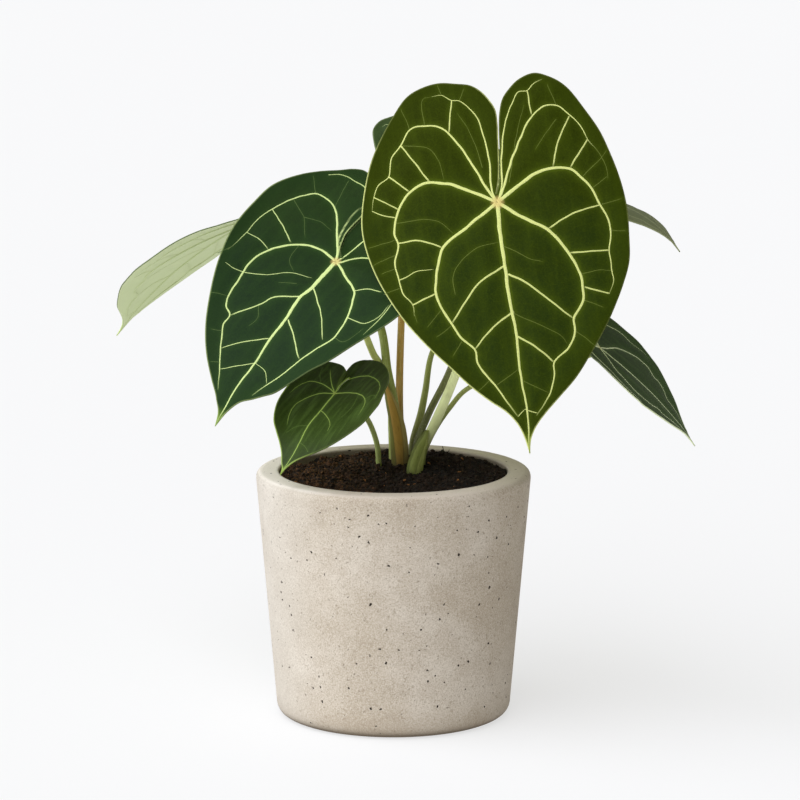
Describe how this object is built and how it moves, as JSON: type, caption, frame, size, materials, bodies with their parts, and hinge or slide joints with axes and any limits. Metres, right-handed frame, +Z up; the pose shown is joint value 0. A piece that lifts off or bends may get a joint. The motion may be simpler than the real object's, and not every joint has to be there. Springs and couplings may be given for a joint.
{
  "type": "potted anthurium clarinervium",
  "caption": "Heart-leaved aroid with pale-veined leaves on long stalks, in a thick round cast pot of soil.",
  "frame": {"origin": "centre of the pot's flat base, on the surface that it stands on", "axes": "+Z up, along the pot's axis; -Y is the side that the large front leaf faces, +X to the right"},
  "size_m": [0.3287, 0.2551, 0.3502],
  "materials": {
    "cast_pot": "matte",
    "soil": "matte",
    "rootstock": "matte",
    "stalk": "satin",
    "blade": "satin",
    "dry_sheath": "matte"
  },
  "bodies": {
    "root": {"pot": "cast_pot", "soil": "soil", "rootstock": "rootstock", "stalk_1": "stalk", "stalk_2": "stalk", "stalk_3": "stalk", "stalk_4": "stalk", "stalk_5": "stalk", "stalk_6": "stalk", "stalk_7": "stalk", "stalk_8": "stalk", "leaf_1": "blade", "leaf_2": "blade", "leaf_3": "blade", "leaf_4": "blade", "leaf_5": "blade", "leaf_6": "blade", "leaf_7": "blade", "leaf_8": "blade", "sheath_1": "dry_sheath", "sheath_2": "dry_sheath"}
  },
  "joints": []
}
